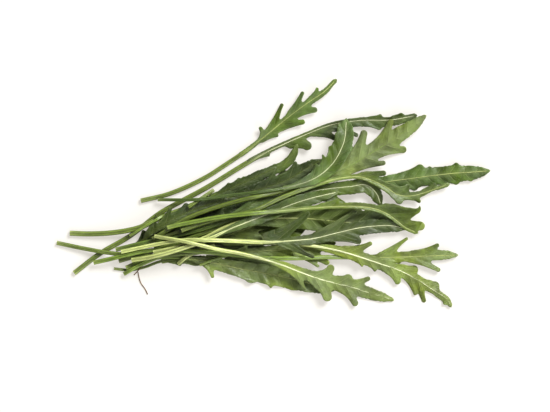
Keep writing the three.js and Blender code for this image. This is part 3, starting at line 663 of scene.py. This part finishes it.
def inside(plan, s, d, index):
    """How far a place at s along the midrib and d to its left is inside the blade's outline. The
    plain blade and the lobes, which are bent fingers with round ends, melt into one shape."""
    away, side = np.abs(d), np.where(d < 0, -1, 1)
    u = plan.foot(s, away)
    ends = np.maximum(s - plan.length, 0) + np.maximum(plan.start - s, 0)
    least = LEAST_HALF * (2 - plan.share(u))
    depth = np.maximum(plan.strip(side, u), least) - away - ends
    tip = s.clip(plan.length - TIP_LENGTH, plan.length - TIP_ROUND)
    depth = np.maximum(depth, TIP_ROUND - np.hypot(s - tip, d))
    uneven = np.sin(1.9 * s + 2.5 * np.sin(0.8 * s + index) + side)
    depth += EDGE_NOISE * uneven * np.minimum(away / EDGE_START, 1)
    for number, (lobe, given) in enumerate(zip(plan.lobes, plan.leaf["lobes"])):
        lobe_side, root, breadth, height = lobe
        reach = height + plan.strip(lobe_side, root)
        lean = float(given[3] if len(given) > 3 else plan.slant(root))
        bow = given[4] if len(given) > 4 else BOW * math.sin(1.7 * number + 2.3 * index)

        # The lobe's middle line, from the midrib to the middle of its round end.
        steep = math.sqrt(1 + lean**2)
        tip = min(breadth / steep * np.interp(breadth, *zip(TOOTH, LOBE)), 0.5 * reach)
        t = np.linspace(0, 1, JOINTS + 1)
        line_s = root + plan.slant(root) * reach - lean * reach * (1 - t)
        line_s += bow * reach * t * (1 - t) - tip * lean / steep * t
        line_d = lobe_side * (reach - tip) * t
        finger = np.full(np.shape(s), -np.inf)
        for a in range(JOINTS):
            step_s, step_d = line_s[a + 1] - line_s[a], line_d[a + 1] - line_d[a]
            k = ((s - line_s[a]) * step_s + (d - line_d[a]) * step_d) / (step_s**2 + step_d**2)
            k = np.clip(k, 0, 1)
            gap = np.hypot(s - line_s[a] - k * step_s, d - line_d[a] - k * step_d)
            flare = FLARE * reach * (1 - (a + k) / JOINTS) ** FLARE_POWER
            finger = np.maximum(finger, tip + flare - gap)
        own_side = lobe_side * d
        finger = np.minimum(finger, own_side + LEAST_HALF)
        melt = np.maximum(MELT - np.abs(depth - finger), 0) ** 2 / (4 * MELT)
        depth = np.maximum(depth, finger) + melt * np.clip(own_side / MELT_START, 0, 1)
    return depth


def side_veins(plan, side, u):
    """Counts the side veins up to u: one runs into every lobe, with plain ones between them."""
    roots = sorted(lobe[1] for lobe in plan.lobes if lobe[0] == side)
    ends = [plan.start, *(r for r in roots if plan.start < r < plan.length), plan.length]
    counts = np.cumsum([0, *(max(1, round(s / VEIN_STEP)) for s in np.diff(ends))])
    return np.interp(u, ends, counts)


def cut_outline(plan, index):
    """A net of points over the blade, pulled onto its outline, and which cells are in it."""
    s0, s1 = plan.start, plan.length + NET_PAST_TIP
    widest = [plan.strip(k, plan.start + 0.6 * plan.blade) for k in (-1, 1)]
    reach = max(widest + [lobe[3] + plan.strip(lobe[0], lobe[1]) for lobe in plan.lobes]) + 2
    rows, columns = round((s1 - s0) / NET), 2 * round(reach / NET)
    s, d = np.meshgrid(np.linspace(s0, s1, rows + 1), np.linspace(-reach, reach, columns + 1),
                       indexing="ij")
    used = inside(plan, s, d, index) > -SNAP * NET
    cells = used[1:, 1:] & used[:-1, 1:] & used[1:, :-1] & used[:-1, :-1]
    around = np.pad(cells, 1)
    touched = np.stack([around[1:, 1:], around[:-1, 1:], around[1:, :-1], around[:-1, :-1]])
    edge, used = touched.any(0) & ~touched.all(0), touched.any(0)
    nudge = 0.05
    p, q = s[edge], d[edge]
    for _ in range(4):
        f = inside(plan, p, q, index)
        fs = inside(plan, p + nudge, q, index) - inside(plan, p - nudge, q, index)
        fd = inside(plan, p, q + nudge, index) - inside(plan, p, q - nudge, index)
        fs, fd = fs / (2 * nudge), fd / (2 * nudge)
        pull = np.clip(f / np.maximum(fs**2 + fd**2, 0.2), -PULL, PULL)
        p, q = p - pull * fs, q - pull * fd
    s[edge], d[edge] = p, q

    # The points within are evened out, and the midrib's own stay on it.
    fixed = ~used | edge
    middle = np.zeros_like(fixed)
    middle[:, columns // 2] = True
    for _ in range(4):
        for net, held in ((s, fixed), (d, fixed | middle)):
            mean = net.copy()
            mean[1:-1, 1:-1] = net[2:, 1:-1] + net[:-2, 1:-1] + net[1:-1, 2:] + net[1:-1, :-2]
            mean[1:-1, 1:-1] /= 4
            net[~held] = (net[~held] + mean[~held]) / 2
    return s, d, cells


def placed_grid(rows, columns):
    """Adds a grid. Each of its points gets a share along and a share across, from -1 to 1."""
    bpy.ops.object.select_all(action="DESELECT")
    bpy.ops.mesh.primitive_grid_add(
        x_subdivisions=rows, y_subdivisions=columns, size=2, calc_uvs=False
    )
    piece = bpy.context.object
    along, across = points_of(piece)[:, :2].T
    return piece, along, across


QUILT = 0.2  # how far the blade swells between its side veins
QUILT_START = 2  # it is flat this near the midrib
CURL, CURL_POWER = 1.3, 1.5  # how far a lobe's tip curls up or down, and how late
FRILL, FRILL_LENGTH = 0.25, 7  # small waves along the edge
BESIDE, BESIDE_WIDTH = 0.16, 0.6  # the crease along each side of the midrib: depth and width
RIB_SHARE = 0.5  # in the blade, the midrib narrows quickly to this share of its width
FRONT, BACK = (0.02, 0.32), 0.33  # a blade's band on the baked map, and the step to its back's


def blade_piece(lie, tint):
    """The blade: a net cut to the leaf's outline, with quilted veins and curled lobes."""
    plan = lie.plan
    s, d, cells = cut_outline(plan, lie.index)
    rows, columns = cells.shape
    piece, along, across = placed_grid(rows, columns)
    i = np.rint((along + 1) / 2 * rows).astype(int)
    j = np.rint((across + 1) / 2 * columns).astype(int)
    s, d = s[i, j], d[i, j]
    side, away = np.where(d < 0, -1, 1), np.abs(d)
    u = plan.foot(s, away).clip(0, plan.length)
    v = (away / plan.width(side, u).clip(0.05)).clip(0, 1)
    count = np.where(side > 0, side_veins(plan, 1, u), side_veins(plan, -1, u))
    up = -1 if plan.under else 1
    quilt = -up * QUILT * np.cos(2 * math.pi * count) * np.minimum(away / QUILT_START, 1)
    quilt *= 1 - v**3
    curl = 0 * u
    for number, lobe in enumerate(plan.lobes):
        tip = np.clip((away - plan.strip(side, u)) / max(lobe[3], 1), 0, 1) ** CURL_POWER
        bend = CURL * math.sin(2.3 * number + 1.9 * lie.index)
        curl += np.where(side == lobe[0], bend * plan.bump(lobe, u) * tip, 0)
    phase = 2 * math.pi * u / FRILL_LENGTH + lie.index + side
    frill = FRILL * np.sin(phase) * v**2 * np.minimum(away / EDGE_START, 1)
    past_rib = (away - RIB_SHARE * plan.radius(u)) / BESIDE_WIDTH
    crease = -up * BESIDE * np.exp(-past_rib.clip(0))
    z = lie.height(side, u, v, away) + quilt + curl + frill + crease
    place(piece, plan.beside(s, d), z.clip(BLADE_THICKNESS / 2))
    paint(piece, np.tile(tint, (len(u), 1)), Sheet=(u, d), Veins=(count, side * v),
          OFBake=(band(along), band(across, *FRONT)))

    # What is outside the outline goes.
    loops = np.empty(len(piece.data.loops), int)
    piece.data.loops.foreach_get("vertex_index", loops)
    corners = loops.reshape(-1, 4)
    outside = ~cells[i[corners].min(1), j[corners].min(1)]
    bpy.context.tool_settings.mesh_select_mode = (False, False, True)
    piece.data.vertices.foreach_set("select", np.zeros(len(i), bool))
    piece.data.edges.foreach_set("select", np.zeros(len(piece.data.edges), bool))
    piece.data.polygons.foreach_set("select", outside)
    bpy.ops.object.mode_set(mode="EDIT")
    bpy.ops.mesh.delete(type="FACE")
    bpy.ops.object.mode_set(mode="OBJECT")
    shell = piece.modifiers.new("Thickness", "SOLIDIFY")
    shell.thickness = BLADE_THICKNESS * MM
    shell.offset = 0
    shell.material_offset = UNDER - UPPER
    for skin in skins:
        piece.data.materials.append(skin)
    bpy.ops.object.modifier_apply(modifier=shell.name)
    back = UPPER if plan.under else UNDER
    bake = piece.data.uv_layers["OFBake"].data
    for polygon in piece.data.polygons:
        if plan.under:
            polygon.material_index = UPPER + UNDER - polygon.material_index
        if polygon.material_index == back:
            for corner in polygon.loop_indices:
                bake[corner].uv[1] += BACK
    bpy.ops.object.shade_smooth()
    return piece


def stalk_skin():
    """A stalk or midrib with streaks along it, painted shade in its groove and on its flanks, and
    painted highlights on the ridges by the groove.
    """
    skin, tree, shader, spot = new_skin("Rocket stalk skin")
    tint, sheet, _, turn = leaf_maps(tree)
    long = node(tree, "ShaderNodeMapping", {"Vector": sheet, "Scale": (0.07, 1.1, 1.0)}).outputs[0]
    streak = noise(tree, long, 2.6, 3.0, noise_dimensions="2D")
    value = ramp(tree, streak, 0.3, 0.7, 0.76, 1.26)
    for other in (
        ramp(tree, noise(tree, spot, 60.0), 0.25, 0.75, 0.86, 1.12),
        ramp(tree, turn, 0.06, 0.17, 0.86, 1.42),  # painted highlights on the ridges by the groove, and painted shade in the groove
        ramp(tree, turn, 0.2, 0.46, 1.0, 0.74),  # painted shade on the flanks, which turn away from the light
    ):
        value = math_node(tree, "MULTIPLY", value, other)
    green = node(tree, "ShaderNodeHueSaturation", {"Value": value, "Color": tint}).outputs[0]
    tree.links.new(green, shader.inputs["Base Color"])
    bump = node(tree, "ShaderNodeBump", {"Height": streak, "Strength": 0.6, "Distance": 0.0003})
    tree.links.new(bump.outputs[0], shader.inputs["Normal"])
    shader.inputs["Roughness"].default_value = 0.34
    return skin


def speckled_skin(name, scale, low, high, ground, speckle, roughness):
    """A dry or cut place in one colour, with specks of another."""
    skin, tree, shader, spot = new_skin(name)
    specks = ramp(tree, noise(tree, spot, scale), low, high)
    tree.links.new(mix(tree, specks, colour(ground), colour(speckle)), shader.inputs["Base Color"])
    shader.inputs["Roughness"].default_value = roughness
    return skin


UPPER, UNDER, STALK, CUT = range(4)  # the order of a leaf's material slots
skins = [
    upper_skin,
    blade_skin("Rocket leaf, underside", paler=0.14, relief=1.0, roughness=0.58),
    stalk_skin(),
    speckled_skin("Cut stalk end", 1800.0, 0.4, 0.7, (206, 208, 156), (150, 140, 92), 0.5),
]

STALK_STEP, RING = 1.4, 16  # the stalk's grid: its step along, and points around
GROOVE, GROOVE_WIDTH = 0.3, 0.5  # its groove's depth, as a share of its radius, and its half turn
RIB_START = 10  # over this length of blade the stalk turns into the midrib
RIB_END = 1.5  # the midrib ends this far short of the tip
RIB_TAPER = 0.6  # by its tip it has lost this share of its width
LEAST_RIB = 0.22  # and this is the least half width of it
RIB_RELIEF = 0.09  # how far it stands out of the blade's upper face
RIB_DEEP = {True: 1.5, False: 1.4}  # and out of its underside, by whether that side is up
RIB_COLOUR = 24  # over this length of blade the stalk's green turns into the midrib's
FRESH_CUT, FRESH_LENGTH = 0.35, 2.5  # how much paler the stalk is at its cut end, and how far
FLANK, FLANK_START = 0.6, 0.9  # how much a midrib's flanks take of the blade's green, and where
STALK_BAND = (0.70, 0.98)  # its band on the baked map
CAP_PLACE, CAP_SIZE = 0.01, 0.006  # and where the cut ends are on that map


def stalk_piece(lie, stalk_tint, rib_tint, blade_tint):
    """The stalk and midrib: a grid rolled into a tube, grooved above, with its ends cut."""
    plan = lie.plan
    length = plan.length - (RIB_END if plan.blade else 0)
    piece, along, across = placed_grid(round(length / STALK_STEP), RING)
    u = (along + 1) / 2 * length
    turn = across * math.pi  # 0 on top, and the seam underneath
    radius = narrow = plan.radius(u)
    in_blade = 0 * u
    if plan.blade:
        in_blade = np.clip((u - plan.start) / RIB_START, 0, 1)
        narrow = radius * (1 + in_blade * (RIB_SHARE - 1)) * (1 - RIB_TAPER * plan.share(u))
        narrow = np.maximum(narrow, LEAST_RIB)
    flush = radius + in_blade * (RIB_RELIEF + BLADE_THICKNESS / 2 - 0.5 * radius)
    proud = radius + in_blade * (RIB_DEEP[plan.under] * narrow - 1.5 * radius)
    tall, deep = (proud, flush) if plan.under else (flush, proud)
    groove = GROOVE * radius * np.exp(-((turn / GROOVE_WIDTH) ** 2)) * (1 - in_blade)
    groove = groove * (not plan.under)
    up = np.cos(turn)
    place(piece, plan.at(np.sign(turn + 1e-9), u, narrow * np.abs(np.sin(turn))),
          lie.middle(u) + np.where(up > 0, tall, deep) * up - groove)
    to_rib = np.clip((u - plan.start + 1) / RIB_COLOUR, 0, 1) * (plan.blade > 0)
    fresh = FRESH_CUT * np.exp(-u / FRESH_LENGTH)
    flank = in_blade * np.clip(np.abs(turn) / FLANK_START - 1, 0, 1) * FLANK
    tint = stalk_tint
    for green, share in ((rib_tint, to_rib), (linear(greens["cream"]), fresh), (blade_tint, flank)):
        tint = tint + (green - tint) * share[:, None]
    arc = turn * plan.leaf["stalk"] / 2
    paint(piece, tint, Sheet=(u, arc), Veins=(0 * u, across),
          OFBake=(band(along), band(across, *STALK_BAND)))
    for skin in skins:
        piece.data.materials.append(skin)
    bpy.context.tool_settings.mesh_select_mode = (True, False, False)
    bpy.ops.object.mode_set(mode="EDIT")
    bpy.ops.mesh.select_all(action="SELECT")
    bpy.ops.mesh.remove_doubles(threshold=1e-7)
    bpy.ops.mesh.select_all(action="DESELECT")
    bpy.ops.mesh.select_mode(type="EDGE")
    bpy.ops.mesh.select_non_manifold()
    bpy.ops.mesh.fill_holes(sides=0)
    bpy.ops.object.mode_set(mode="OBJECT")
    bake = piece.data.uv_layers["OFBake"].data
    for polygon in piece.data.polygons:
        polygon.material_index = STALK
        if len(polygon.vertices) > 4:
            polygon.material_index = CUT
            for k, corner in enumerate(polygon.loop_indices):
                angle = 2 * math.pi * k / len(polygon.vertices)
                bake[corner].uv = (CAP_PLACE + CAP_SIZE * math.cos(angle),
                                   CAP_PLACE + CAP_SIZE * math.sin(angle))
    bpy.ops.object.shade_smooth_by_angle(angle=math.radians(50))
    return piece


def pick(pieces):
    """Selects these pieces and nothing else, and makes the first one active."""
    bpy.ops.object.select_all(action="DESELECT")
    for piece in pieces:
        piece.select_set(True)
    bpy.context.view_layer.objects.active = pieces[0]


def joined(name, pieces):
    """Joins pieces into one, under this name."""
    pick(pieces)
    if len(pieces) > 1:
        bpy.ops.object.join()
    pieces[0].name = pieces[0].data.name = name
    return pieces[0]


UNDER_SNAPPED = 10  # the snapped stalks lie on this many of the leaves
order = [*tucked, *leaves[:UNDER_SNAPPED], *snapped, *leaves[UNDER_SNAPPED:]]
for index, leaf in enumerate(order, start=-len(tucked)):
    bare = heights.copy()
    lie = Lie(leaf, index)
    if leaf in tucked:  # it gives way, so nothing is laid higher because of it
        heights[:] = bare
    blade_green, stalk_green, rib_green = (linear(greens[g]) for g in leaf["greens"].split())
    pieces = [stalk_piece(lie, stalk_green, rib_green, blade_green)]
    if lie.plan.blade:
        pieces.insert(0, blade_piece(lie, blade_green))
    made.append(joined("leaf_" + leaf["name"], pieces))

# ---------------------------------------------------------------------------------------------
# The root thread: a dry brown root that still hangs on the lowest stalk and forks on the ground.
# Its two strands are one round curve, made a mesh.

def added(name, data):
    """Puts an object with this data into the scene."""
    thing = bpy.data.objects.new(name, data)
    bpy.context.collection.objects.link(thing)
    return thing


thread = [
    [(-62.5, -32.5, 3.2), (-65, -35.6, 2.4), (-67, -38.5, 1.2), (-69, -40.5, 0.5)],
    [(-67, -38.9, 1.0), (-66.6, -41.5, 0.5), (-65.6, -44.8, 0.4), (-63.2, -47.6, 0.4),
     (-62.2, -50.2, 0.4)],
]
THREAD_RADIUS = 0.24

bark = speckled_skin("Root bark", 900.0, 0.35, 0.65, (98, 66, 44), (150, 118, 84), 0.75)
curve = bpy.data.curves.new("root", "CURVE")
curve.dimensions = "3D"
curve.bevel_depth = THREAD_RADIUS * MM
curve.bevel_resolution = 3
curve.use_fill_caps = True
for line in thread:
    spline = curve.splines.new("NURBS")
    spline.points.add(len(line) - 1)
    spline.use_endpoint_u = True
    spline.order_u = 3
    spline.resolution_u = 8
    for point, (x, y, z) in zip(spline.points, line):
        point.co = (x * MM, y * MM, z * MM, 1)
curve.materials.append(bark)
pick([added("root", curve)])
bpy.ops.object.convert(target="MESH")
made.append(joined("root_thread", [bpy.context.object]))

# ---------------------------------------------------------------------------------------------
# The bunch: all of these, moved together so that the middle of their box is over the origin, as
# in the model. Only then is each in its place, and given to the body that it rides on.

low = np.min([np.array(piece.bound_box).min(0) for piece in made], axis=0)
high = np.max([np.array(piece.bound_box).max(0) for piece in made], axis=0)
middle = (low + high) / 2
for piece in made:
    moved = points_of(piece) - [middle[0], middle[1], 0]
    piece.data.vertices.foreach_set("co", moved.ravel())
    piece.data.update()
    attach(piece, "root")
    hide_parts("rocket_bunch")

# ---------------------------------------------------------------------------------------------
# The set: a white floor, a sun high at the far right, a softer one at the near right, and a long
# lens that looks straight down.

PIXEL = 0.5  # one pixel of the photograph, in millimetres
FRAME = (550, 412)  # its size in pixels
ORIGIN_PIXEL = (272, 194)  # where the leaves' routes have their zero
CAMERA_HEIGHT = 1.6  # metres
WARM_WHITE = (1, 0.98, 0.95, 1)

bpy.ops.mesh.primitive_plane_add(size=4)
floor = bpy.context.object
floor.name = "floor"
paper, _, shader, _ = new_skin("White floor")
for name, value in (
    ("Base Color", (0.2, 0.2, 0.2, 1)),
    ("Roughness", 0.9),
    ("Emission Color", (1, 0.957, 0.875, 1)),  # what still shines in the shadows is warm
    ("Emission Strength", 0.57),
):
    shader.inputs[name].default_value = value
floor.data.materials.append(paper)

for name, energy, angle, (x, y, z) in (
    ("key", 6.4, 26, (0.62, 0.70, 0.95)),
    ("fill", 2.1, 50, (0.60, -0.80, 0.85)),
):
    sun = bpy.data.lights.new(name, "SUN")
    sun.energy = energy
    sun.angle = math.radians(angle)
    added(name, sun).rotation_euler = (0, math.atan2(math.hypot(x, y), z), math.atan2(y, x))

world = bpy.data.worlds.new("studio")
bpy.context.scene.world = world
world.use_nodes = True
world.node_tree.nodes["Background"].inputs["Color"].default_value = WARM_WHITE
world.node_tree.nodes["Background"].inputs["Strength"].default_value = 0.62

lens = bpy.data.cameras.new("camera")
lens.sensor_width = 36
lens.lens = lens.sensor_width * CAMERA_HEIGHT / (FRAME[0] * PIXEL * MM)
camera = added("camera", lens)
aim = np.array([FRAME[0] / 2 - ORIGIN_PIXEL[0], ORIGIN_PIXEL[1] - FRAME[1] / 2]) * PIXEL * MM
camera.location = (*(aim - middle[:2]), CAMERA_HEIGHT)
bpy.context.scene.camera = camera
bpy.context.scene.view_settings.view_transform = "Standard"
bpy.context.scene.view_settings.gamma = 0.85
